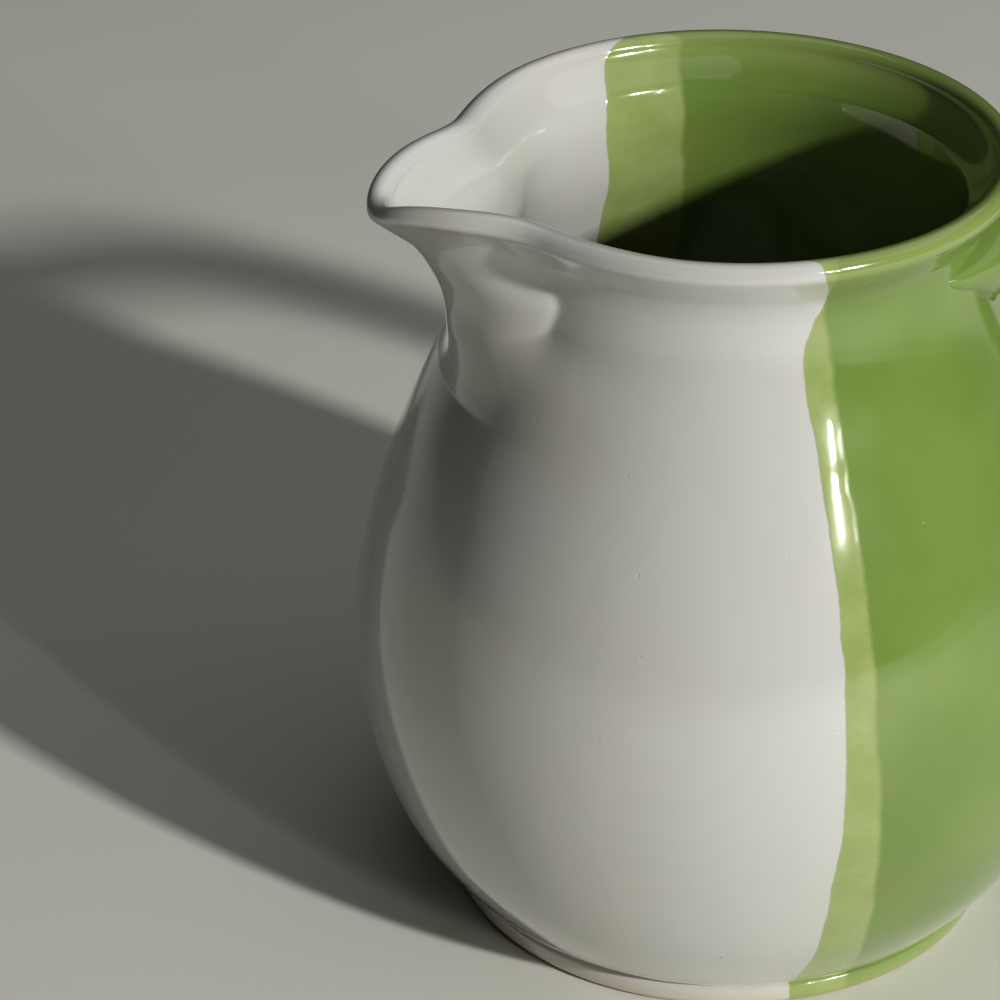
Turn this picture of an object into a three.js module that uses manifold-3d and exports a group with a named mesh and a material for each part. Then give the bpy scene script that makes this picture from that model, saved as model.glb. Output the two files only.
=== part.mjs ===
// A glazed ceramic milk pitcher: a round-bellied thrown body on a low foot ring, a pulled
// spout let into a notch in the neck, and a strap handle opposite it. Millimetres, +Z up.
// The pitcher stands on z = 0. Its spout points along -X and its handle along +X, and the
// origin lies under the middle of its whole length.
import * as THREE from 'three';
import { LoftGeometry } from 'three/addons/geometries/LoftGeometry.js';
import { mergeVertices } from 'three/addons/utils/BufferGeometryUtils.js';
import Module from 'manifold-3d';

const wasm = await Module();
wasm.setup();

// ---- Driving dimensions -------------------------------------------------------------------

const BELLY_RADIUS = 66;
const WALL = 4.4; // thickness of the thrown wall
const GAP = 0.3; // clearance left between two pieces that touch
const AROUND = 64; // facets round the body

const FOOT_RADIUS = 48.9;
const FOOT_INNER_RADIUS = 41.5;
const FOOT_HEIGHT = 3.8;
const FOOT_EDGE = 1.1; // rounding of the ring's lower edges
const FOOT_FACETS = 48;

const UNDERSIDE = FOOT_HEIGHT + GAP;
const FLOOR_TOP = 9; // inside of the floor, above the table
const FLOOR_FLAT_RADIUS = 34;

// Outer outline of the wall from the floor's edge to just under the lip: [radius, height].
const OUTLINE = [
  [47.5, UNDERSIDE],
  [51.5, 7.2],
  [60.2, 20.6],
  [65.1, 38],
  [BELLY_RADIUS, 55],
  [62.7, 73],
  [56.9, 90],
  [49.6, 107],
  [44.4, 120],
  [42.6, 130],
  [43.7, 135.4],
];
const OUTLINE_STEPS = 18;

// The rolled lip is a round bead along the top of the wall.
const LIP_RADIUS = 46; // from the axis to the middle of the bead
const LIP_HEIGHT = 141.2; // middle of the bead
const LIP_ROLL = 2.2; // radius of the bead
const LIP_START = -50; // degrees, where the outer wall runs into the bead
const LIP_END = 200; // degrees, where the bead runs into the inner wall
const LIP_STEPS = 8;

// The mouth leans towards the spout, and the spout is pulled out from the neck.
const MOUTH_SHIFT = 1.6;
const MOUTH_SHIFT_FROM = 122;
const THROAT = [
  // height, how far the throat stands out of the wall, half its width in degrees
  { z: 105, reach: 0, half: 7 },
  { z: 110, reach: 3.1, half: 11 },
  { z: 114.6, reach: 5, half: 16 },
  { z: 118, reach: 6.4, half: 19.7 },
  { z: 122, reach: 8.3, half: 23.1 },
  { z: 126.3, reach: 10.5, half: 28.2 },
  { z: 128.6, reach: 11.5, half: 27.9 },
  { z: 130.5, reach: 12.3, half: 25 },
  { z: 133.6, reach: 13.2, half: 21 },
  { z: 136.5, reach: 13.9, half: 21 },
  { z: 139.4, reach: 14.6, half: 21 },
  { z: 141.5, reach: 15.2, half: 21 },
];
const THROAT_TOP = 125; // from here up the round throat turns into the pointed lip
const SPOUT_LIP = 137.5; // from here up it has the lip's own shape
const SPOUT_EDGE = [
  // degrees from the tip, how far the lip stands out of the round, how far it rises
  { angle: 0, reach: 15.2, rise: -3.2 },
  { angle: 4, reach: 14, rise: -1.6 },
  { angle: 8, reach: 11.4, rise: -0.2 },
  { angle: 12, reach: 8.6, rise: 0.4 },
  { angle: 16, reach: 5.4, rise: 0.7 },
  { angle: 20, reach: 2.5, rise: 0.6 },
  { angle: 24, reach: 0.6, rise: 0.3 },
  { angle: 28, reach: -0.3, rise: 0.1 },
  { angle: 36, reach: -0.5, rise: 0 },
  { angle: 60, reach: 0, rise: 0 },
];

// Edge of the notch that the spout is set in, along the crease: [half width, height].
const NOTCH = [
  [9.5, 111],
  [13.2, 114.6],
  [17.4, 121.9],
  [20.5, 126.3],
  [20.3, 128.6],
  [18.6, 131],
  [18, 134],
  [20, 138],
  [21, 150],
];
const NOTCH_FOOT = 106;
const NOTCH_BACK = 20; // the cut starts this far out of the axis
const NOTCH_DEPTH = 60;

// Middle line of the handle, from inside the neck round to inside the belly: [x, z].
const HANDLE_LINE = [
  [14, 130],
  [30, 129.6],
  [42, 129.2],
  [54, 129.2],
  [67, 130],
  [81, 129.6],
  [94, 125],
  [104.4, 116.6],
  [111, 105.6],
  [113.5, 93.6],
  [112, 82],
  [106.8, 71.5],
  [98, 62.8],
  [87, 56.2],
  [75, 51.4],
  [58, 46.4],
];
const HANDLE_LENGTH = 201; // along that line
const HANDLE_STEPS = 44;
const SECTION_POINTS = 20;
const SECTION_SQUARE = 2.3; // 2 is an ellipse, more is squarer

// Half the strap's width, and its thickness above and below the middle line, by the distance
// along that line. Its two ends are thinner where they sit inside the clay of the joints.
const STRAP = [
  { at: 0, width: 9.8, up: 5.3, down: 5.3 },
  { at: 43, width: 9.8, up: 5.3, down: 5.3 },
  { at: 50, width: 11.6, up: 6.6, down: 6.6 },
  { at: 72, width: 11.2, up: 6.4, down: 6.4 },
  { at: 115, width: 10.6, up: 6.5, down: 7.2 },
  { at: 160, width: 9.4, up: 6, down: 6.2 },
  { at: 171, width: 9, up: 5.9, down: 5.9 },
  { at: 177, width: 7.8, up: 4.6, down: 4.6 },
  { at: HANDLE_LENGTH, width: 7.8, up: 4.6, down: 4.6 },
];

// The clay worked in round the root under the lip, spread sideways into two wings.
const UPPER_JOINT = [
  { at: 7, width: 37.4, up: 3.6, down: 4 },
  { at: 10, width: 36.4, up: 4, down: 5.4 },
  { at: 16, width: 33.6, up: 4.8, down: 9.6 },
  { at: 22.5, width: 30.4, up: 5.8, down: 16.5 },
  { at: 28, width: 25, up: 6.8, down: 18 },
  { at: 34, width: 18.4, up: 7.1, down: 14 },
  { at: 40, width: 14.2, up: 7.2, down: 10 },
  { at: 46, width: 12.3, up: 7.2, down: 7.8 },
];
const LOWER_JOINT = [
  { at: 169, width: 10.2, up: 7, down: 7 },
  { at: 176, width: 11, up: 7.8, down: 7.8 },
  { at: 183, width: 13.2, up: 9.6, down: 9.6 },
  { at: 189, width: 16, up: 12.4, down: 12 },
  { at: 195, width: 18.4, up: 15, down: 14 },
  { at: HANDLE_LENGTH, width: 19.6, up: 16.5, down: 15.5 },
];
const JOINT_STEPS = 12;

// The origin lies under the middle of the pitcher's length, from belly to handle.
const HANDLE_BEND = HANDLE_LINE[9][0] + STRAP[4].up;
const AXIS_X = (BELLY_RADIUS - HANDLE_BEND) / 2;

const WHITE_GLAZE = { color: 0xd8d6ca, roughness: 0.16, metalness: 0 };
const GREEN_GLAZE = { color: 0x7c9b45, roughness: 0.14, metalness: 0 };
const BARE_CLAY = { color: 0xcdb9a3, roughness: 0.75, metalness: 0 };

// ---- Solids -------------------------------------------------------------------------------

const WELD = 1e-4;

// A closed geometry as a solid that can be cut and joined.
function toSolid(geometry) {
  const bare = new THREE.BufferGeometry().copy(geometry);
  bare.deleteAttribute('normal');
  bare.deleteAttribute('uv');
  const welded = mergeVertices(bare, WELD);
  const index = welded.index.array;
  const triangles = [];
  for (let i = 0; i < index.length; i += 3) {
    const [a, b, c] = [index[i], index[i + 1], index[i + 2]];
    if (a !== b && b !== c && c !== a) {
      triangles.push(a, b, c);
    }
  }
  const vertProperties = welded.attributes.position.array;
  return new wasm.Manifold(
    new wasm.Mesh({ numProp: 3, vertProperties, triVerts: new Uint32Array(triangles) }),
  );
}

function toGeometry(solid) {
  const mesh = solid.getMesh();
  const geometry = new THREE.BufferGeometry();
  geometry.setAttribute('position', new THREE.BufferAttribute(mesh.vertProperties, 3));
  geometry.setIndex(new THREE.BufferAttribute(mesh.triVerts, 1));
  geometry.computeVertexNormals();
  return geometry;
}

function piece(name, solid, finish) {
  const mesh = new THREE.Mesh(toGeometry(solid), new THREE.MeshStandardMaterial(finish));
  mesh.name = name;
  return mesh;
}

// ---- Numbers along a curve ----------------------------------------------------------------

// The value of row[field] at a place on rows sorted by key, in a straight line between rows.
function between(rows, key, field, place) {
  if (place <= rows[0][key]) {
    return rows[0][field];
  }
  for (let i = 1; i < rows.length; i += 1) {
    const [low, high] = [rows[i - 1], rows[i]];
    if (place <= high[key]) {
      const share = (place - low[key]) / (high[key] - low[key]);
      return THREE.MathUtils.lerp(low[field], high[field], share);
    }
  }
  return rows[rows.length - 1][field];
}

// ---- The thrown body ----------------------------------------------------------------------

const outline = new THREE.SplineCurve(OUTLINE.map(([r, z]) => new THREE.Vector2(r, z)));

// The outline moved sideways by a distance, positive towards the axis.
function offsetOutline(distance) {
  const points = [];
  for (let i = 0; i <= OUTLINE_STEPS; i += 1) {
    const t = i / OUTLINE_STEPS;
    const along = outline.getTangent(t);
    const point = outline.getPoint(t);
    point.x -= along.y * distance;
    point.y += along.x * distance;
    points.push(point);
  }
  return points;
}

// The bead of the lip, grown by a margin, from the outer wall over the top to the inner wall.
function lipBead(margin = 0) {
  const points = [];
  for (let i = 0; i <= LIP_STEPS; i += 1) {
    const angle = THREE.MathUtils.degToRad(
      THREE.MathUtils.lerp(LIP_START, LIP_END, i / LIP_STEPS),
    );
    const reach = LIP_ROLL + margin;
    points.push(new THREE.Vector2(
      LIP_RADIUS + reach * Math.cos(angle),
      LIP_HEIGHT + reach * Math.sin(angle),
    ));
  }
  return points;
}

// The hollow from the lip down the inner wall, round its corner and in to the axis.
function innerWall() {
  const wall = offsetOutline(WALL).filter((point) => point.y > 2 * FLOOR_TOP).reverse();
  const last = wall[wall.length - 1];
  const corner = new THREE.QuadraticBezierCurve(
    last,
    new THREE.Vector2(last.x - 5, FLOOR_TOP),
    new THREE.Vector2(FLOOR_FLAT_RADIUS, FLOOR_TOP),
  );
  return [...wall, ...corner.getPoints(5).slice(1), new THREE.Vector2(0, FLOOR_TOP)];
}

// How far the clay is pushed out at an angle from the spout and a height.
function pulledOut(angle, z) {
  const degrees = Math.abs(THREE.MathUtils.radToDeg(angle));
  const across = degrees / between(THROAT, 'z', 'half', z);
  const round = Math.max(0, 1 - across * across);
  const pointed = between(SPOUT_EDGE, 'angle', 'reach', degrees) / SPOUT_EDGE[0].reach;
  const up = THREE.MathUtils.smoothstep(z, THROAT_TOP, SPOUT_LIP);
  const lean = THREE.MathUtils.smoothstep(z, MOUTH_SHIFT_FROM, LIP_HEIGHT);
  const shape = THREE.MathUtils.lerp(round, pointed, up);
  return between(THROAT, 'z', 'reach', z) * shape + MOUTH_SHIFT * lean * Math.cos(angle);
}

// How far the lip rises at an angle from the spout.
function lipRise(angle, z) {
  const degrees = Math.abs(THREE.MathUtils.radToDeg(angle));
  const up = THREE.MathUtils.smoothstep(z, MOUTH_SHIFT_FROM, LIP_HEIGHT);
  return up * between(SPOUT_EDGE, 'angle', 'rise', degrees);
}

// Turns a profile round the axis, with the facets closer together at the spout, and pulls
// the spout out of it.
function thrown(profile) {
  const geometry = new THREE.LatheGeometry(profile, AROUND);
  geometry.rotateX(Math.PI / 2);
  const position = geometry.attributes.position;
  for (let i = 0; i < position.count; i += 1) {
    const radius = Math.hypot(position.getX(i), position.getY(i));
    const even = Math.atan2(position.getY(i), -position.getX(i));
    const angle = even - 0.45 * Math.sin(even);
    const z = position.getZ(i);
    const pulled = radius > 0 ? radius + pulledOut(angle, z) : 0;
    position.setXYZ(i, -pulled * Math.cos(angle), pulled * Math.sin(angle), z + lipRise(angle, z));
  }
  return toSolid(geometry);
}

function shell() {
  return thrown([
    new THREE.Vector2(0, UNDERSIDE),
    ...offsetOutline(0),
    ...lipBead(),
    ...innerWall(),
  ]);
}

// The body as one full block, grown by the gap, to cut other pieces clear of it.
function bodyBlock() {
  const outer = [...offsetOutline(-GAP), ...lipBead(GAP).slice(0, LIP_STEPS / 2 + 1)];
  const top = outer[outer.length - 1].y;
  return thrown([
    new THREE.Vector2(0, UNDERSIDE - GAP),
    ...outer,
    new THREE.Vector2(0, top),
  ]);
}

// ---- The spout and its notch --------------------------------------------------------------

// The shield-shaped block that the spout is cut with, grown by a margin.
function notchBlock(margin) {
  const right = NOTCH.map(([y, z]) => new THREE.Vector2(y + margin, z));
  const left = NOTCH.map(([y, z]) => new THREE.Vector2(-y - margin, z)).reverse();
  const foot = new THREE.Vector2(0, NOTCH_FOOT - margin);
  const lower = new THREE.SplineCurve([left[left.length - 1], foot, right[0]]);
  const shape = new THREE.Shape([...lower.getPoints(8).slice(1, -1), ...right, ...left]);
  const geometry = new THREE.ExtrudeGeometry(shape, { depth: NOTCH_DEPTH, bevelEnabled: false });
  geometry.applyMatrix4(new THREE.Matrix4().makeBasis(
    new THREE.Vector3(0, 1, 0),
    new THREE.Vector3(0, 0, 1),
    new THREE.Vector3(1, 0, 0),
  ));
  geometry.translate(-NOTCH_BACK - NOTCH_DEPTH, 0, 0);
  return toSolid(geometry);
}

// ---- The handle ---------------------------------------------------------------------------

const handleLine = new THREE.CatmullRomCurve3(
  HANDLE_LINE.map(([x, z]) => new THREE.Vector3(x, 0, z)),
);

// One section across the middle line, sized by rows of widths and grown by a margin.
function section(rows, at, margin) {
  const place = at / HANDLE_LENGTH;
  const middle = handleLine.getPointAt(place);
  const along = handleLine.getTangentAt(place);
  const outward = new THREE.Vector3(-along.z, 0, along.x);
  const width = between(rows, 'at', 'width', at) + margin;
  const up = between(rows, 'at', 'up', at) + margin;
  const down = between(rows, 'at', 'down', at) + margin;
  const points = [];
  for (let i = 0; i < SECTION_POINTS; i += 1) {
    const angle = (i / SECTION_POINTS) * 2 * Math.PI;
    const [c, s] = [Math.cos(angle), Math.sin(angle)];
    const side = Math.sign(c) * Math.pow(Math.abs(c), 2 / SECTION_SQUARE) * width;
    const rise = Math.sign(s) * Math.pow(Math.abs(s), 2 / SECTION_SQUARE) * (s > 0 ? up : down);
    const point = middle.clone().addScaledVector(outward, rise);
    point.y += side;
    points.push(point);
  }
  return points;
}

// The clay between the first and the last row, drawn along the handle's middle line.
function drawn(rows, steps, margin = 0) {
  const [first, last] = [rows[0].at, rows[rows.length - 1].at];
  const sections = [];
  for (let i = 0; i <= steps; i += 1) {
    sections.push(section(rows, THREE.MathUtils.lerp(first, last, i / steps), margin));
  }
  return toSolid(new LoftGeometry(sections, { capStart: true, capEnd: true }));
}

// ---- The foot ring ------------------------------------------------------------------------

function footRing() {
  const points = [
    [FOOT_INNER_RADIUS, FOOT_HEIGHT],
    [FOOT_INNER_RADIUS, FOOT_EDGE],
    [FOOT_INNER_RADIUS + FOOT_EDGE, 0],
    [FOOT_RADIUS - FOOT_EDGE, 0],
    [FOOT_RADIUS - FOOT_EDGE / 3, FOOT_EDGE / 3],
    [FOOT_RADIUS, FOOT_EDGE],
    [FOOT_RADIUS, FOOT_HEIGHT],
    [FOOT_INNER_RADIUS, FOOT_HEIGHT],
  ];
  const profile = points.map(([r, z]) => new THREE.Vector2(r, z));
  const geometry = new THREE.LatheGeometry(profile, FOOT_FACETS);
  geometry.rotateX(Math.PI / 2);
  return toSolid(geometry);
}

// ---- Assembly -----------------------------------------------------------------------------

const whole = shell();
const block = bodyBlock();
const strapBlock = drawn(STRAP, HANDLE_STEPS, GAP);
const taken = block.add(strapBlock);

const body = whole.subtract(notchBlock(GAP));
const spout = whole.intersect(notchBlock(0));
const handle = drawn(STRAP, HANDLE_STEPS).subtract(block);
const upperJoint = drawn(UPPER_JOINT, JOINT_STEPS).subtract(taken);
const lowerJoint = drawn(LOWER_JOINT, JOINT_STEPS).subtract(taken);

const pitcher = new THREE.Group();
pitcher.position.x = AXIS_X;
pitcher.add(
  piece('body', body, WHITE_GLAZE),
  piece('foot_ring', footRing(), BARE_CLAY),
  piece('spout', spout, WHITE_GLAZE),
  piece('handle', handle, GREEN_GLAZE),
  piece('upper_handle_joint', upperJoint, GREEN_GLAZE),
  piece('lower_handle_joint', lowerJoint, GREEN_GLAZE),
);

export default pitcher;
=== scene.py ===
"""Looks of a half-white, half-green glazed ceramic pitcher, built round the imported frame.

The clay is modelled in millimetres from the body's axis, with the spout along -X and the
handle along +X, and is then placed on the CAD's foot ring.
"""
import math

import bpy
import numpy as np
from mathutils import Matrix, Vector

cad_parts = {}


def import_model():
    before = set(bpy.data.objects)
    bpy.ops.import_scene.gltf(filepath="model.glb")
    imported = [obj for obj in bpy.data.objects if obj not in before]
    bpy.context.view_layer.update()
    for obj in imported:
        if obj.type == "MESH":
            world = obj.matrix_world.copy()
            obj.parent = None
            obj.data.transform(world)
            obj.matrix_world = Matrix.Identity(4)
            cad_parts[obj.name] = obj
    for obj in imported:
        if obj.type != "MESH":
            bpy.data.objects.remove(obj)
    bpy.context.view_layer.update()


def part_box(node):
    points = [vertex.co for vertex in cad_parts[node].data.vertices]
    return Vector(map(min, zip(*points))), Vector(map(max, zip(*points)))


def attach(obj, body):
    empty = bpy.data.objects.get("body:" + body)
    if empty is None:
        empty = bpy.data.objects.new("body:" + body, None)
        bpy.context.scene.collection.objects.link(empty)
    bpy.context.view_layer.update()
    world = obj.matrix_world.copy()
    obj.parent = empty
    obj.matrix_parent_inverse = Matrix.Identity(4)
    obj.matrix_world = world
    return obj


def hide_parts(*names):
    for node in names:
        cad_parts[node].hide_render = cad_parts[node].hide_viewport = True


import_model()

MM = 0.001
foot_low, foot_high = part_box("foot_ring")
AXIS = Vector(((foot_low[0] + foot_high[0]) / 2, (foot_low[1] + foot_high[1]) / 2, foot_low[2]))

# ---- Camera, light and floor ----------------------------------------------------------------

AIM = Vector((-38.5, 11.8, 73.9)) * MM + AXIS  # where the camera looks
AZIMUTH = -17.1
ELEVATION = 30.0
DISTANCE = 0.7015
LENS = 144
SENSOR = 36
LIT = AXIS + Vector((0, 0, 0.07))  # where the lights face
TABLE_SIZE = 6


def direction(azimuth, elevation):
    """The unit vector towards an azimuth, from -Y round to +X, and an elevation."""
    a, e = math.radians(azimuth), math.radians(elevation)
    return Vector((math.cos(e) * math.sin(a), -math.cos(e) * math.cos(a), math.sin(e)))


def looking(place, target):
    """Where an object stands and faces so that its -Z axis points at a target."""
    turn = (target - place).to_track_quat("-Z", "Y")
    return Matrix.Translation(place) @ turn.to_matrix().to_4x4()


def camera():
    """The scene's camera, which looks down at the pitcher from the spout's side."""
    data = bpy.data.cameras.new("camera")
    data.lens = LENS
    data.sensor_width = SENSOR
    data.clip_start = 0.05
    data.clip_end = 30
    obj = bpy.data.objects.new("camera", data)
    bpy.context.scene.collection.objects.link(obj)
    obj.matrix_world = looking(AIM + direction(AZIMUTH, ELEVATION) * DISTANCE, AIM)
    bpy.context.scene.camera = obj


def softbox(name, towards, distance, width, height, power, colour):
    """A rectangular light, sized and placed in metres, that faces the pitcher."""
    data = bpy.data.lights.new(name, "AREA")
    data.shape = "RECTANGLE"
    data.size = width
    data.size_y = height
    data.energy = power
    data.color = colour
    obj = bpy.data.objects.new(name, data)
    bpy.context.scene.collection.objects.link(obj)
    obj.matrix_world = looking(LIT + towards * distance, LIT)


def world():
    """A dim, even surround, and the picture's contrast."""
    made = bpy.data.worlds.new("studio")
    made.use_nodes = True
    background = made.node_tree.nodes["Background"]
    background.inputs["Color"].default_value = (0.62, 0.63, 0.6, 1)
    background.inputs["Strength"].default_value = 0.02
    bpy.context.scene.world = made
    bpy.context.scene.view_settings.view_transform = "Standard"
    bpy.context.scene.view_settings.look = "Medium High Contrast"


# ---- Node helpers ---------------------------------------------------------------------------


class Nodes:
    """A short way to write a material's node tree."""

    def __init__(self, name):
        self.material = bpy.data.materials.new(name)
        self.material.use_nodes = True
        self.tree = self.material.node_tree
        self.shader = self.tree.nodes["Principled BSDF"]

    def link(self, value, socket):
        """Feeds a socket from another node, or sets it to a value."""
        if isinstance(value, bpy.types.NodeSocket):
            self.tree.links.new(value, socket)
        else:
            socket.default_value = value

    def math(self, operation, a, b=0.0, c=0.0):
        """One sum, such as MULTIPLY_ADD for a * b + c."""
        node = self.tree.nodes.new("ShaderNodeMath")
        node.operation = operation
        for value, socket in zip((a, b, c), node.inputs):
            self.link(value, socket)
        return node.outputs[0]

    def ramp(self, value, low, high, to_low=0.0, to_high=1.0):
        """A smooth step from one value to another between two ends."""
        node = self.tree.nodes.new("ShaderNodeMapRange")
        node.interpolation_type = "SMOOTHSTEP"
        for put, socket in zip((value, low, high, to_low, to_high), node.inputs):
            self.link(put, socket)
        return node.outputs[0]

    def mix(self, share, a, b):
        """Colour a, with a share of colour b."""
        node = self.tree.nodes.new("ShaderNodeMix")
        node.data_type = "RGBA"
        self.link(share, node.inputs[0])
        self.link(a, node.inputs[6])
        self.link(b, node.inputs[7])
        return node.outputs[2]

    def noise(self, vector, scale, detail=2.0, rough=0.5):
        node = self.tree.nodes.new("ShaderNodeTexNoise")
        self.link(vector, node.inputs["Vector"])
        node.inputs["Scale"].default_value = scale
        node.inputs["Detail"].default_value = detail
        node.inputs["Roughness"].default_value = rough
        return node.outputs["Fac"]

    def cells(self, vector, scale):
        """The distance to the nearest of some scattered points."""
        node = self.tree.nodes.new("ShaderNodeTexVoronoi")
        self.link(vector, node.inputs["Vector"])
        node.inputs["Scale"].default_value = scale
        return node.outputs["Distance"]

    def attribute(self, name):
        node = self.tree.nodes.new("ShaderNodeAttribute")
        node.attribute_name = name
        return node.outputs["Fac"]

    def curve(self, value, points, low, high):
        """A height in mm turned into a distance in mm, through [height, distance] points."""
        node = self.tree.nodes.new("ShaderNodeFloatCurve")
        line = node.mapping.curves[0]
        places = [(z / TALLEST, (x - low) / (high - low)) for z, x in sorted(points)]
        line.points[0].location = places[0]
        line.points[1].location = places[-1]
        for place in places[1:-1]:
            line.points.new(*place)
        node.mapping.update()
        self.link(self.math("DIVIDE", value, TALLEST), node.inputs["Value"])
        return self.math("MULTIPLY_ADD", node.outputs[0], high - low, low)

    def bump(self, height, strength, distance):
        """A normal that leans with a height."""
        node = self.tree.nodes.new("ShaderNodeBump")
        node.inputs["Strength"].default_value = strength
        node.inputs["Distance"].default_value = distance
        self.link(height, node.inputs["Height"])
        return node.outputs[0]

    def place(self):
        """The point on the piece in mm from the body's axis, and its x and its height."""
        node = self.tree.nodes.new("ShaderNodeTexCoord")
        moved = self.tree.nodes.new("ShaderNodeMapping")
        moved.vector_type = "POINT"
        moved.inputs["Scale"].default_value = (1000, 1000, 1000)
        moved.inputs["Location"].default_value = AXIS * -1000
        self.link(node.outputs["Object"], moved.inputs["Vector"])
        split = self.tree.nodes.new("ShaderNodeSeparateXYZ")
        self.link(moved.outputs[0], split.inputs[0])
        return moved.outputs[0], split.outputs["X"], split.outputs["Z"]


# ---- Materials ------------------------------------------------------------------------------

# Edges of the green glaze, where its first and its second dip stopped: [height, x] in mm.
OUTER_FIRST = [(0, -4.5), (18, -4.2), (38, -3.9), (51, -3.1), (81, -2.8), (98, -3.1), (111, -3.7),
               (124, -4.5), (130, -3), (135, -1.5), (141, -3.4), (145, -4.2)]
OUTER_SECOND = [(0, 6.6), (22, 4.4), (46, 3.6), (65, 2.6), (87, 2.4), (126, -0.4), (141, -1.6),
                (145, 0.5)]
INNER_FIRST = [(0, -10), (107, -10.3), (122, -10.4), (131, -11.4), (142, -8.5)]
INNER_SECOND = [(0, 6), (112, 5.4), (123, 3.6), (133, 3.2), (142, 4.8)]
TALLEST = 150.0  # a height that no edge passes
EDGE_RANGE = (-15, 10)  # the values of x that the edges stay between

WHITE = (0.605, 0.61, 0.585, 1)
WHITE_WARM = (0.605, 0.6, 0.56, 1)
WHITE_THIN = (0.60, 0.54, 0.45, 1)
BAND = (0.305, 0.385, 0.13, 1)
BAND_PALE = (0.355, 0.425, 0.165, 1)
GREEN = (0.2, 0.29, 0.072, 1)
GREEN_DEEP = (0.172, 0.258, 0.06, 1)
SPECK = (0.2, 0.17, 0.11, 1)
CLAY = (0.58, 0.45, 0.34, 1)
CLAY_DARK = (0.5, 0.37, 0.27, 1)
CLAY_GRAIN = (0.25, 0.17, 0.11, 1)
FLOOR = (0.78, 0.78, 0.715, 1)
FLOOR_CLOUD = (0.75, 0.75, 0.69, 1)
# Painted shade: the colour that the table fades to, away from the pitcher.
FLOOR_FAR_SHADE = (0.16, 0.16, 0.15, 1)


def glaze(name):
    """White glaze dipped twice in green from the handle's side."""
    n = Nodes(name)
    vector, x, z = n.place()
    inside = n.attribute("inside")
    broad = n.noise(vector, 0.035, 3)
    waver = n.noise(vector, 0.11, 2)
    fine = n.noise(vector, 0.6, 3)

    outer_first = n.curve(z, OUTER_FIRST, *EDGE_RANGE)
    inner_first = n.curve(z, INNER_FIRST, *EDGE_RANGE)
    outer_second = n.curve(z, OUTER_SECOND, *EDGE_RANGE)
    inner_second = n.curve(z, INNER_SECOND, *EDGE_RANGE)

    def past(outer, inner, wobble, soft):
        """How far x is past a wavering edge, and the share of green there."""
        edge = n.math("MULTIPLY_ADD", n.math("SUBTRACT", inner, outer), inside, outer)
        shake = n.math("MULTIPLY", n.math("SUBTRACT", waver, 0.5), wobble)
        shake = n.math("MULTIPLY_ADD", n.math("SUBTRACT", fine, 0.5), 0.35, shake)
        away = n.math("SUBTRACT", n.math("SUBTRACT", x, edge), shake)
        return away, n.ramp(away, -soft, soft)

    away, first = past(outer_first, inner_first, 1.4, 0.22)
    _, second = past(outer_second, inner_second, 2.2, 0.7)

    # The white is a little warmer in clouds, and thinner at the foot.
    white = n.mix(n.ramp(broad, 0.35, 0.7), WHITE, WHITE_WARM)
    foot = n.ramp(z, 5.5, 1.2)
    white = n.mix(n.math("MULTIPLY", foot, 0.8), white, WHITE_THIN)

    # One coat of green is pale and cloudy, and palest just behind its edge. The second coat is
    # deep, and thinner at the foot and over the lip; its paler colour at the foot is also painted
    # bounce light from the table.
    cloud = n.ramp(n.noise(vector, 0.16, 4, 0.6), 0.35, 0.68)
    band = n.mix(cloud, BAND, BAND_PALE)
    edge_strip = n.ramp(away, 1.3, 0.2)
    band = n.mix(n.math("MULTIPLY", edge_strip, 0.35), band, BAND_PALE)
    deep = n.mix(n.ramp(broad, 0.36, 0.66), GREEN, GREEN_DEEP)
    # Painted bounce light, with thinner glaze: the second coat turns paler at the foot.
    deep = n.mix(n.math("MULTIPLY", foot, 0.75), deep, BAND)
    lip = n.math("MULTIPLY", n.attribute("lip"), 0.55)
    deep = n.mix(lip, deep, BAND)
    green = n.mix(second, band, deep)
    colour = n.mix(first, white, green)

    # Iron specks under the glaze, and pinholes in it.
    speck = n.ramp(n.cells(vector, 0.085), 0.03, 0.018)
    colour = n.mix(n.math("MULTIPLY", speck, 0.55), colour, SPECK)
    n.link(colour, n.shader.inputs["Base Color"])

    pinhole = n.ramp(n.cells(vector, 0.19), 0.05, 0.02)
    rough = n.ramp(n.noise(vector, 0.05, 3), 0.3, 0.7, 0.1, 0.17)
    rough = n.math("MULTIPLY_ADD", pinhole, 0.3, rough)
    n.link(rough, n.shader.inputs["Roughness"])
    n.shader.inputs["IOR"].default_value = 1.52
    n.shader.inputs["Coat Weight"].default_value = 1.0
    n.shader.inputs["Coat Roughness"].default_value = 0.03

    # The glaze lies in soft waves, the green stands a little proud, and pinholes sink in.
    height = n.math("MULTIPLY", n.noise(vector, 0.045, 2), 0.5)
    height = n.math("MULTIPLY_ADD", n.noise(vector, 0.35, 3), 0.022, height)
    height = n.math("MULTIPLY_ADD", first, 0.1, height)
    height = n.math("MULTIPLY_ADD", second, 0.05, height)
    height = n.math("MULTIPLY_ADD", pinhole, -0.12, height)
    n.link(n.bump(height, 0.5, MM), n.shader.inputs["Normal"])
    return n.material


def clay(name):
    """Bare fired clay with a fine tooth and dark grains."""
    n = Nodes(name)
    vector = n.place()[0]
    grain = n.noise(vector, 1.6, 5, 0.65)
    tone = n.noise(vector, 0.12, 3)
    colour = n.mix(n.ramp(tone, 0.3, 0.7), CLAY, CLAY_DARK)
    colour = n.mix(n.ramp(grain, 0.62, 0.75), colour, CLAY_GRAIN)
    n.link(colour, n.shader.inputs["Base Color"])
    n.link(n.ramp(grain, 0.3, 0.7, 0.7, 0.9), n.shader.inputs["Roughness"])
    n.link(n.bump(grain, 0.35, 0.3 * MM), n.shader.inputs["Normal"])
    return n.material


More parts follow.
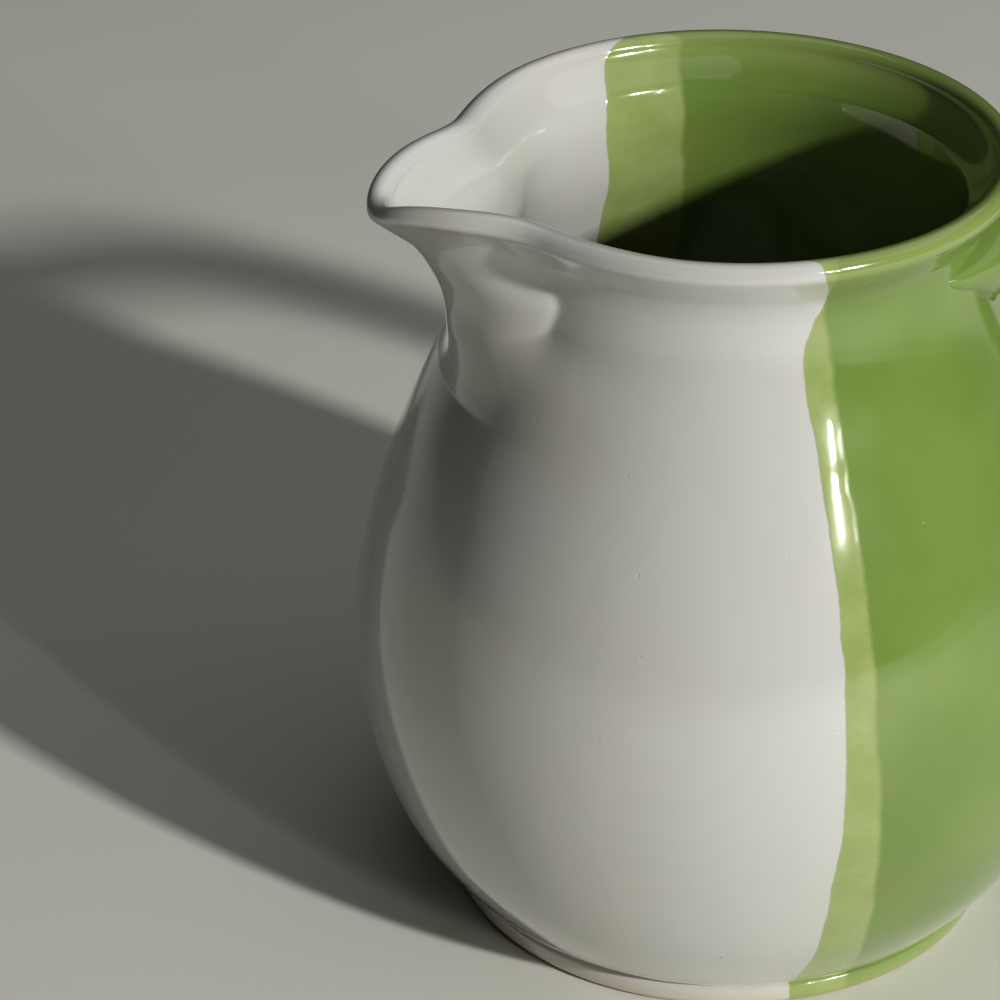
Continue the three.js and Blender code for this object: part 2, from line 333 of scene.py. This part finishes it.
def floor_material():
    """A pale matt table, with painted shade that darkens it with distance from the pitcher."""
    n = Nodes("floor")
    point = n.tree.nodes.new("ShaderNodeTexCoord").outputs["Object"]
    reach = n.tree.nodes.new("ShaderNodeVectorMath")
    reach.operation = "LENGTH"
    n.link(point, reach.inputs[0])
    # Painted shade: the table's colour darkens with distance from the pitcher.
    far_shade = n.ramp(reach.outputs["Value"], 0.45, 1.1)
    cloud = n.ramp(n.noise(point, 6, 3), 0.3, 0.7)
    pale = n.mix(cloud, FLOOR, FLOOR_CLOUD)
    n.link(n.mix(far_shade, pale, FLOOR_FAR_SHADE), n.shader.inputs["Base Color"])
    n.shader.inputs["Roughness"].default_value = 0.75
    grain = n.noise(point, 900, 3)
    n.link(n.bump(grain, 0.12, 0.2 * MM), n.shader.inputs["Normal"])
    return n.material


# ---- Curves through rows of numbers ---------------------------------------------------------


def through(xs, ys, at):
    """A smooth curve through points, without overshoot, read at places."""
    xs, ys, at = np.asarray(xs, float), np.asarray(ys, float), np.asarray(at, float)
    step = np.diff(xs)
    slope = np.diff(ys) / step
    inner = np.where(slope[:-1] * slope[1:] > 0,
                     2 * slope[:-1] * slope[1:] / (slope[:-1] + slope[1:] + 1e-12), 0)
    tangent = np.concatenate([[slope[0]], inner, [slope[-1]]])
    at = np.clip(at, xs[0], xs[-1])
    i = np.clip(np.searchsorted(xs, at) - 1, 0, len(xs) - 2)
    h = step[i]
    t = (at - xs[i]) / h
    return ((2 * t ** 3 - 3 * t ** 2 + 1) * ys[i] + (t ** 3 - 2 * t ** 2 + t) * h * tangent[i]
            + (3 * t ** 2 - 2 * t ** 3) * ys[i + 1] + (t ** 3 - t ** 2) * h * tangent[i + 1])


def smoothstep(value, low, high):
    """A smooth step from 0 at one value to 1 at the other."""
    t = np.clip((value - low) / (high - low), 0, 1)
    return t * t * (3 - 2 * t)


def spline(points, count):
    """Points along a Catmull-Rom line through the given points, evenly by parameter."""
    p = np.asarray(points, float)
    place = np.linspace(0, len(p) - 1, count)
    i = np.clip(place.astype(int), 0, len(p) - 2)
    t = (place - i)[:, None]
    a, b = p[np.maximum(i - 1, 0)], p[i]
    c, d = p[i + 1], p[np.minimum(i + 2, len(p) - 1)]
    v0, v1 = (c - a) / 2, (d - b) / 2
    return ((2 * b - 2 * c + v0 + v1) * t ** 3 + (-3 * b + 3 * c - 2 * v0 - v1) * t ** 2
            + v0 * t + b)


def evenly(points, spacing):
    """The same line with points at an even spacing."""
    length = np.concatenate([[0], np.cumsum(np.linalg.norm(np.diff(points, axis=0), axis=1))])
    count = max(2, int(round(length[-1] / spacing)) + 1)
    at = np.linspace(0, length[-1], count)
    return np.stack([np.interp(at, length, points[:, k]) for k in range(points.shape[1])], 1)


# ---- The thrown body and its spout ----------------------------------------------------------

WALL = 4.4
UNDERSIDE = 4.1
FLOOR_TOP = 9.0
FLOOR_EDGE = 34  # radius at which the flat floor turns up into the wall
HUB = 0.4  # radius of the small disc that closes each end of the section
# Radius and height up the outside of the wall, from the foot to the lip.
OUTLINE = [(47.5, UNDERSIDE), (51.5, 7.2), (60.2, 20.6), (65.1, 38), (66, 55), (62.7, 73),
           (56.9, 90), (49.6, 107), (44.4, 120), (42.6, 130), (43.7, 135.4)]
LIP_RADIUS = 46.0
LIP_HEIGHT = 141.2
LIP_ROLL = 2.12
MOUTH_SHIFT = 1.6  # how far the mouth leans towards the spout
SHOULDER = 103  # height above which the section has finer rows
TRUE = 0.9988  # keeps the true curve inside the box of the faceted one

# Height, how far the throat stands out of the wall, half its width in degrees.
THROAT = [(104, 0, 17), (108, 1.4, 17.5), (112, 3.3, 19), (116, 5.4, 21), (120, 7.2, 23.2),
          (124, 9.2, 25.6), (127.3, 10.8, 26.8), (130.5, 12.2, 24.8), (133.6, 13.2, 22.4),
          (136.5, 13.9, 21.5), (139.4, 14.6, 21), (141.5, 15.2, 21), (146, 15.2, 21)]
# Degrees from the tip, how far the lip stands out of the round, how far it rises.
SPOUT_EDGE = [(0, 15.2, -3.2), (4, 14, -1.6), (8, 11.4, -0.2), (12, 8.6, 0.4), (16, 5.4, 0.7),
              (20, 2.5, 0.6), (24, 0.6, 0.3), (28, -0.3, 0.1), (36, -0.5, 0), (60, 0, 0),
              (180, 0, 0)]
# Edge of the notch that the spout is set in: half width, height.
NOTCH = [(0, 106), (9.5, 111), (13.2, 114.6), (17.4, 121.9), (20.5, 126.3), (20.3, 128.6),
         (18.6, 131), (18, 134), (20, 138), (21, 150)]
COLUMNS = 340
WARP = 0.72  # how much the columns crowd together at the spout


def wall_lines():
    """The outside of the wall from foot to lip, and the inside from lip to floor."""
    line = spline(OUTLINE, 800) * np.array([TRUE, 1])
    belly = evenly(line[line[:, 1] < SHOULDER], 1.5)
    neck = evenly(line[line[:, 1] > SHOULDER + 0.5], 0.5)
    outer = np.vstack([belly, neck])
    along = np.gradient(outer, axis=0)
    along /= np.linalg.norm(along, axis=1)[:, None]
    inner = outer + np.stack([-along[:, 1], along[:, 0]], 1) * WALL
    return outer, inner[inner[:, 1] > 2 * FLOOR_TOP][::-1]


def floor_lines(wall_end):
    """The underside from the hub out, the curve from the wall to the floor, and the floor."""
    under = np.stack([np.linspace(HUB, OUTLINE[0][0] - 1, 14), np.full(14, UNDERSIDE)], 1)
    t = np.linspace(0, 1, 16)[1:, None]
    corner = ((1 - t) ** 2 * wall_end + 2 * t * (1 - t) * np.array([wall_end[0] - 5, FLOOR_TOP])
              + t ** 2 * np.array([FLOOR_EDGE, FLOOR_TOP]))
    floor = np.stack([np.linspace(FLOOR_EDGE - 2, HUB, 12), np.full(12, FLOOR_TOP)], 1)
    return under, corner, floor


def eased(points, lip_from, lip_to):
    """The section with the corners at both ends of the lip rounded off."""
    soft = points.copy()
    for _ in range(3):
        soft[1:-1] = (soft[:-2] + 2 * soft[1:-1] + soft[2:]) / 4
    blend = np.zeros(len(points))
    blend[lip_from - 3:lip_from + 3] = 1
    blend[lip_to - 3:lip_to + 4] = 1
    blend = np.convolve(blend, [0.25, 0.5, 0.25], "same")[:, None]
    return points * (1 - blend) + soft * blend


def wall_middle(points, outer, inner):
    """The radius of the wall's middle beside each point; low down, the point's own radius."""
    z = points[:, 1]
    upward = inner[::-1]
    middle = (np.interp(z, outer[:, 1], outer[:, 0]) + np.interp(z, upward[:, 1], upward[:, 0])) / 2
    share = smoothstep(z, 134, 139)
    middle = middle * (1 - share) + LIP_RADIUS * share
    return np.where(z < 60, points[:, 0], middle)


def wall_profile():
    """Radius, height, middle of the wall and the inside mark along the whole section."""
    outer, inner = wall_lines()
    turn = np.radians(np.linspace(-50, 200, 26))
    lip = np.stack([LIP_RADIUS + LIP_ROLL * np.cos(turn), LIP_HEIGHT + LIP_ROLL * np.sin(turn)], 1)
    under, corner, floor = floor_lines(inner[-1])
    lip_from = len(under) + len(outer)
    lip_to = lip_from + len(lip)
    points = eased(np.vstack([under, outer, lip, inner, corner, floor]), lip_from, lip_to)
    inside = np.zeros(len(points))
    inside[lip_from:lip_to] = smoothstep(np.degrees(turn), 55, 150)
    inside[lip_to:] = 1
    return points[:, 0], points[:, 1], wall_middle(points, outer, inner), inside


def lip_edge(field, degrees):
    """A column of the lip's rows at an angle from the tip, with its corners rounded off."""
    rows = np.array(SPOUT_EDGE)
    places = np.concatenate([-rows[:0:-1, 0], rows[:, 0]])
    values = np.concatenate([rows[:0:-1, field], rows[:, field]])
    shifts = (-2.8, -1.4, 0, 1.4, 2.8)
    return sum(through(places, values, degrees + shift) for shift in shifts) / len(shifts)


def pulled(angle, z, inside=0.0):
    """How far the clay is pushed out at an angle from the spout and a height."""
    degrees = np.abs(np.degrees(angle))
    height, reach, half = np.array(THROAT).T
    across = degrees / through(height, half, z)
    soft = 0.05 + 0.75 * smoothstep(z, 124, 112)
    hump = 1 - across ** 1.35
    hump = (hump + np.sqrt(hump ** 2 + soft ** 2)) / (1 + np.sqrt(1 + soft ** 2))
    hump = hump * smoothstep(across, 3.2, 1.5)
    wide = through([100, 112, 124, 146], [26, 33, 38, 38], z)
    hollow = np.cos(np.clip(degrees / wide, 0, 1) * math.pi / 2) ** 2
    hump = hump + (hollow - hump) * np.asarray(inside)
    pointed = lip_edge(1, degrees) / SPOUT_EDGE[0][1]
    up = smoothstep(z, 125 - 7 * np.asarray(inside), 137.5 + 3 * np.asarray(inside))
    lean = smoothstep(z, 122, LIP_HEIGHT)
    shape = hump * (1 - up) + pointed * up
    return through(height, reach, z) * shape + MOUTH_SHIFT * lean * np.cos(angle)


def risen(angle, z):
    """How far the lip rises at an angle from the spout and a height."""
    return smoothstep(z, 122, LIP_HEIGHT) * lip_edge(2, np.abs(np.degrees(angle)))


def shell_grid():
    """Points of the whole shell as rows up the section and columns round it."""
    radius, height, middle, inside = wall_profile()
    even = np.arange(COLUMNS) / COLUMNS * 2 * math.pi
    even = np.where(even > math.pi, even - 2 * math.pi, even)
    angle = even - WARP * np.sin(even)
    a = np.broadcast_to(angle[None], (len(radius), COLUMNS))
    z = np.broadcast_to(height[:, None], a.shape)
    within = np.broadcast_to(inside[:, None], a.shape)
    out = pulled(a, z, within)
    step = 1e-3
    base = np.maximum(middle[:, None] + out, 1)
    lean = (pulled(a + step, z, within) - pulled(a - step, z, within)) / (2 * step) / base
    stretch = np.sqrt(1 + np.clip(lean, -1.2, 1.2) ** 2)
    r = middle[:, None] + (radius - middle)[:, None] * stretch + out
    points = np.stack([-r * np.cos(a), r * np.sin(a), z + risen(a, z)], 2)
    return points, within


def skin(points, turned):
    """Smooth normals and quads of a grid that closes round its columns, turned over or not."""
    rows, columns = points.shape[:2]
    across = np.roll(points, -1, 1) - np.roll(points, 1, 1)
    along = np.gradient(points, axis=0)
    normals = np.cross(across, along)
    normals = normals / np.maximum(np.linalg.norm(normals, axis=2), 1e-9)[..., None]
    i, j = np.meshgrid(np.arange(rows - 1), np.arange(columns), indexing="ij")
    k = (j + 1) % columns
    faces = np.stack([i * columns + j, i * columns + k, (i + 1) * columns + k,
                      (i + 1) * columns + j], 2).reshape(-1, 4)
    if turned:
        return -normals.reshape(-1, 3), faces[:, ::-1]
    return normals.reshape(-1, 3), faces


def plain_marks(count):
    """The glaze's marks on a piece that is outside the pitcher and below its lip."""
    return {"inside": np.zeros(count), "lip": np.zeros(count)}


def make_piece(name, points, faces, normals, marks):
    """A mesh piece from points in mm, with only the points that its faces use."""
    used = np.unique(np.concatenate([np.asarray(f).ravel() for f in faces]))
    index = np.full(len(points), -1)
    index[used] = np.arange(len(used))
    mesh = bpy.data.meshes.new(name)
    places = points[used] * MM + np.array(AXIS)
    mesh.from_pydata(places.tolist(), [], [[int(index[v]) for v in f] for f in faces])
    mesh.shade_smooth()
    for mark, values in marks.items():
        layer = mesh.attributes.new(mark, "FLOAT", "POINT")
        layer.data.foreach_set("value", np.asarray(values, float)[used].astype(np.float32))
    mesh.normals_split_custom_set_from_vertices(normals[used].tolist())
    obj = bpy.data.objects.new(name, mesh)
    bpy.context.scene.collection.objects.link(obj)
    return obj


def shell_pieces():
    """The body, closed by a disc under and over its floor, and the spout in its notch."""
    points, inside = shell_grid()
    flat = points.reshape(-1, 3)
    normals, faces = skin(points, True)
    middle = flat[faces].mean(1)
    half = through([z for _, z in NOTCH], [y for y, _ in NOTCH], middle[:, 2])
    in_notch = (middle[:, 0] < -20) & (np.abs(middle[:, 1]) < half) & (middle[:, 2] > NOTCH[0][1])
    marks = {"inside": inside.ravel(), "lip": smoothstep(flat[:, 2], 137.5, 140.5)}
    body_faces = faces[~in_notch].tolist()
    body_faces.append(list(range(COLUMNS)))
    body_faces.append(list(range(len(flat) - COLUMNS, len(flat)))[::-1])
    body = make_piece("body_glazed", flat, body_faces, normals, marks)
    spout = make_piece("spout_glazed", flat, faces[in_notch].tolist(), normals, marks)
    return body, spout


# ---- The handle and its joints --------------------------------------------------------------

# The middle of the strap, x and height, from inside the neck round to the belly.
HANDLE_LINE = [(14, 130), (30, 129.6), (42, 129.2), (54, 129.2), (67, 130), (81, 129.6),
               (94, 125), (104.4, 116.6), (111, 105.6), (113.5, 93.6), (112, 82), (106.8, 71.5),
               (98, 62.8), (87, 56.2), (75, 51.4), (58, 46.4)]
# Along the line, half width, thickness above and below the line.
STRAP = [(5, 34.5, 3, 3.4), (8, 35.2, 3.5, 4.2), (11, 35, 3.9, 5.8), (16, 33.2, 4.6, 9.4),
         (22.5, 29.6, 5.6, 16), (28, 24.2, 6.4, 17.4), (34, 17.8, 6.8, 13.4), (40, 13.9, 6.9, 9.6),
         (46, 12.2, 6.8, 7.4), (52, 11.6, 6.6, 6.6), (72, 11.2, 6.3, 6.3), (115, 10.6, 6.4, 7.1),
         (160, 9.4, 5.9, 6.1), (169, 9.4, 6.1, 6.2), (176, 10.4, 7.2, 7.2), (183, 12.8, 9.2, 9.2),
         (189, 15.7, 12, 11.7), (195, 18.1, 14.7, 13.7), (200.5, 19.4, 16.2, 15.2)]
UPPER_END = 46  # along the line, where the upper joint gives way to the strap
LOWER_START = 169
ROUND = 112
SQUARENESS = 2.3  # 2 is an ellipse, more is a boxier section
BURIED = 1.6  # how deep a root can lie under the wall's outside
# Radius and height up the outside of the lip, above the wall.
LIP_SIDE = [(47.4, 139.6), (48.1, 141.2)]


def handle_grid():
    """Places along the strap's line, and its points as rows along it and columns round it."""
    line = spline(HANDLE_LINE, 2000)
    length = np.concatenate([[0], np.cumsum(np.linalg.norm(np.diff(line, axis=0), axis=1))])
    at, width, up, down = np.array(STRAP).T
    steps = np.unique(np.concatenate([np.arange(at[0], UPPER_END, 0.5), [UPPER_END],
                                      np.arange(UPPER_END + 1.6, LOWER_START, 1.6), [LOWER_START],
                                      np.arange(LOWER_START + 0.9, at[-1], 0.9)]))
    middle = np.stack([np.interp(steps, length, line[:, k]) for k in (0, 1)], 1)
    along = np.gradient(line, axis=0)
    along /= np.linalg.norm(along, axis=1)[:, None]
    tangent = np.stack([np.interp(steps, length, along[:, k]) for k in (0, 1)], 1)
    phi = np.arange(ROUND) / ROUND * 2 * math.pi
    c, s = np.cos(phi), np.sin(phi)
    bend = 2 / SQUARENESS
    side = np.sign(c) * np.abs(c) ** bend
    rise = np.sign(s) * np.abs(s) ** bend
    w = through(at, width, steps)[:, None] * side[None]
    h = np.where(rise > 0, through(at, up, steps)[:, None], through(at, down, steps)[:, None])
    h = h * rise[None]
    x = middle[:, :1] - tangent[:, 1:] * h
    z = middle[:, 1:] + tangent[:, :1] * h
    return steps, np.stack([x, w, z], 2)


def sunk(points):
    """Brings every point that lies inside the pitcher to just under the outside of its wall."""
    outer = np.vstack([spline(OUTLINE, 400), LIP_SIDE])
    z = points[..., 2]
    angle = np.arctan2(points[..., 1], -points[..., 0])
    wall = np.interp(z, outer[:, 1], outer[:, 0]) + pulled(angle, z)
    r = np.hypot(points[..., 0], points[..., 1])
    under = np.maximum(wall - r, 0)
    held = wall - BURIED * (1 - np.exp(-under / BURIED))
    scale = np.where(under > 0, held / np.maximum(r, 1), 1)
    moved = points.copy()
    moved[..., 0] *= scale
    moved[..., 1] *= scale
    return moved


def handle_pieces():
    """The upper joint, the strap and the lower joint, as three lengths of one grid."""
    steps, points = handle_grid()
    normals, faces = skin(points, False)
    flat = sunk(points).reshape(-1, 3)
    row = faces.min(1) // ROUND
    upper_row = int(np.searchsorted(steps, UPPER_END))
    lower_row = int(np.searchsorted(steps, LOWER_START))
    made = []
    for name, low, high in (("upper_joint_glazed", 0, upper_row),
                            ("handle_glazed", upper_row, lower_row),
                            ("lower_joint_glazed", lower_row, len(steps) - 1)):
        chosen = faces[(row >= low) & (row < high)].tolist()
        made.append(make_piece(name, flat, chosen, normals, plain_marks(len(flat))))
    return made


# ---- The foot ring --------------------------------------------------------------------------

# Radius and height, from the outside under the body, round the standing edge, to the inside.
FOOT_SECTION = [(48.0, 4.3), (48.75, 3.9), (48.9, 3.2), (48.85, 1.6), (48.5, 0.7), (47.9, 0.2),
                (47.2, 0.03), (45.2, 0.02), (43.2, 0.03), (42.4, 0.25), (41.8, 0.9), (41.6, 2),
                (41.6, 4.2)]
FOOT_COLUMNS = 256
GLAZE_STOPS = 0.55  # height below which the ring is bare


def foot_pieces():
    """The glazed sides of the ring, and its bare standing edge."""
    line = evenly(spline(FOOT_SECTION, 200), 0.35)
    angle = np.arange(FOOT_COLUMNS) / FOOT_COLUMNS * 2 * math.pi
    points = np.stack([np.outer(line[:, 0], np.cos(angle)), np.outer(line[:, 0], np.sin(angle)),
                       np.repeat(line[:, 1:], FOOT_COLUMNS, 1)], 2)
    flat = points.reshape(-1, 3)
    normals, faces = skin(points, True)
    marks = plain_marks(len(flat))
    bare = flat[faces].mean(1)[:, 2] < GLAZE_STOPS
    glazed = make_piece("foot_ring_glazed", flat, faces[~bare].tolist(), normals, marks)
    rim = make_piece("foot_ring_bare", flat, faces[bare].tolist(), normals, marks)
    return glazed, rim


# ---- Assembly -------------------------------------------------------------------------------


def settle(piece, node, material):
    """Gives a piece its material, and its place in the record."""
    piece.data.materials.append(material)
    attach(piece, "root")
    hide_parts(node)


camera()
# The key casts the shadows, the glint draws the highlight, and the overhead fills.
softbox("key", direction(28, 24.5), 2.2, width=0.1, height=0.12, power=37,
        colour=(1, 0.985, 0.96))
softbox("glint", direction(17.5, 20), 2.2, width=0.06, height=0.42, power=4.5,
        colour=(1, 0.99, 0.97))
softbox("overhead", direction(100, 72), 2.4, width=3.2, height=3.2, power=12, colour=(1, 1, 1))
world()

dipped = glaze("dipped_glaze")
body, spout = shell_pieces()
settle(body, "body", dipped)
settle(spout, "spout", dipped)
upper_joint, handle, lower_joint = handle_pieces()
settle(upper_joint, "upper_handle_joint", dipped)
settle(handle, "handle", dipped)
settle(lower_joint, "lower_handle_joint", dipped)
foot_glazed, foot_bare = foot_pieces()
settle(foot_glazed, "foot_ring", dipped)
settle(foot_bare, "foot_ring", clay("bare_clay"))

bpy.ops.mesh.primitive_plane_add(size=TABLE_SIZE, location=(0, 0, 0))
ground = bpy.context.object
ground.name = "ground"
ground.data.materials.append(floor_material())

bpy.context.view_layer.update()
